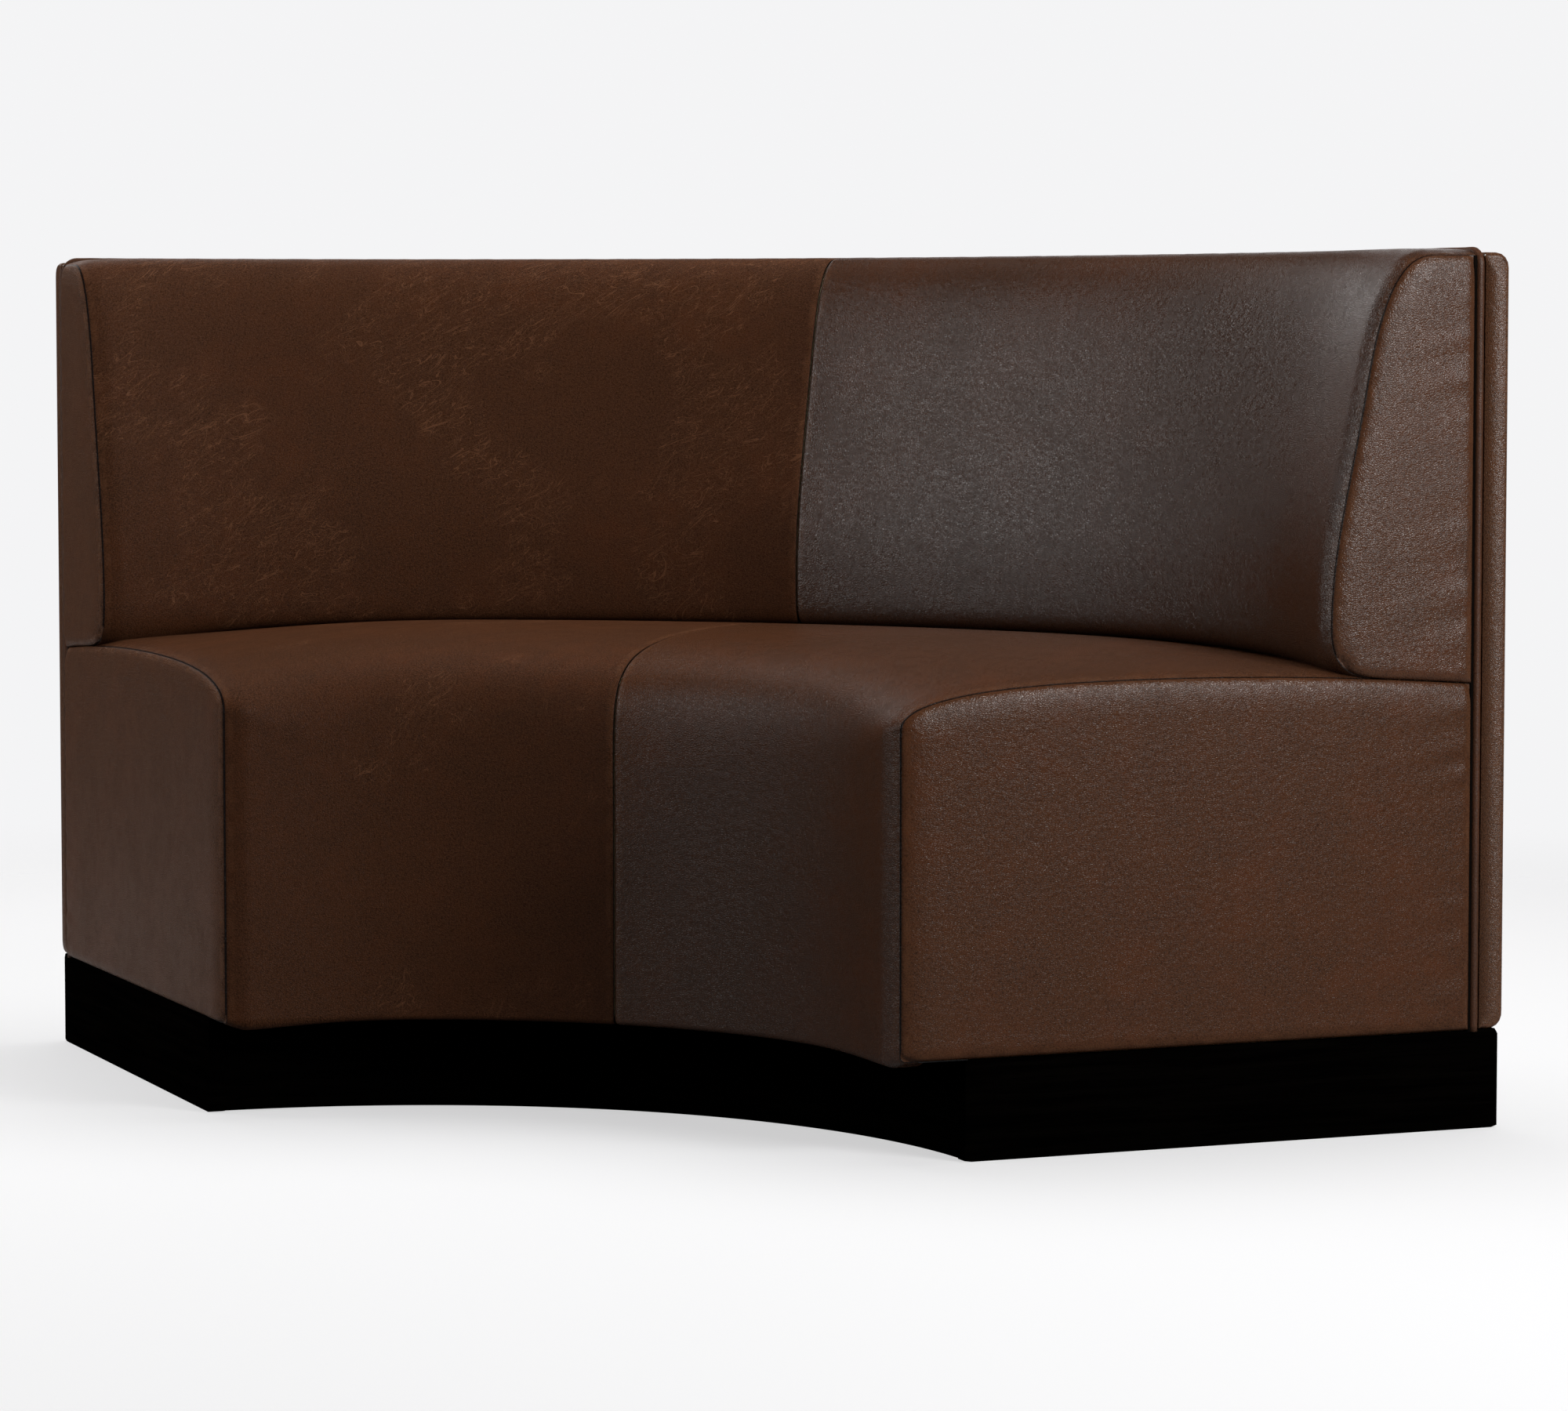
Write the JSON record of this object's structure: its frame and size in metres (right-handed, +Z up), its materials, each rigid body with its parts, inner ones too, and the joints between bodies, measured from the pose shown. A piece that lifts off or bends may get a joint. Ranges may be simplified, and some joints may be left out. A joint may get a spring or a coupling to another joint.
{
  "type": "curved upholstered banquette bench",
  "caption": "Curved corner banquette: crowned leather seat and tight inside back in two halves, piped outer back panel, black recessed plinth.",
  "frame": {"origin": "on the floor under the middle of the bench's plan box", "axes": "+Z up; the sitter faces -Y; +X to the right as seen from the front. The centre of the quarter turn is on the Y axis, in front of the bench."},
  "size_m": [1.7246, 0.8404, 0.9128],
  "materials": {
    "seat_leather": "dark brown waxed leather, fine pebble grain, mottled",
    "back_leather": "dark brown waxed leather, fine pebble grain, mottled",
    "end_leather": "brown leather, strong pebble grain",
    "outer_leather": "brown leather, pebble grain",
    "piping_leather": "leather-covered cord",
    "black_plinth": "near-black stained wood, fine grain, low sheen",
    "plywood": "bare birch plywood",
    "foam": "open-cell foam",
    "wadding": "polyester wadding",
    "dust_cloth": "black non-woven cloth",
    "screw_steel": "zinc-plated steel"
  },
  "bodies": {
    "root": {"plinth_front": "black_plinth", "plinth_back": "black_plinth", "plinth_end_left": "black_plinth", "plinth_end_right": "black_plinth", "plinth_cross_boards": "plywood", "plinth_corner_blocks": "plywood", "plinth_screws": "screw_steel", "base_board": "plywood", "gable_left": "plywood", "gable_right": "plywood", "frame_rib_1": "plywood", "frame_rib_2": "plywood", "frame_rib_3": "plywood", "frame_rib_4": "plywood", "seat_front_board": "plywood", "seat_deck": "plywood", "back_board": "plywood", "top_rail": "plywood", "dust_cover": "dust_cloth", "outer_back_board": "plywood", "outer_back_wadding": "wadding", "outer_back_cover": "outer_leather", "piping": "piping_leather", "seat_foam": "foam", "seat_cover_left": "seat_leather", "seat_cover_right": "seat_leather", "seat_end_panel_left": "end_leather", "seat_end_panel_right": "end_leather", "back_foam": "foam", "back_cover_left": "back_leather", "back_cover_right": "back_leather", "back_end_panel_left": "end_leather", "back_end_panel_right": "end_leather"}
  },
  "joints": []
}
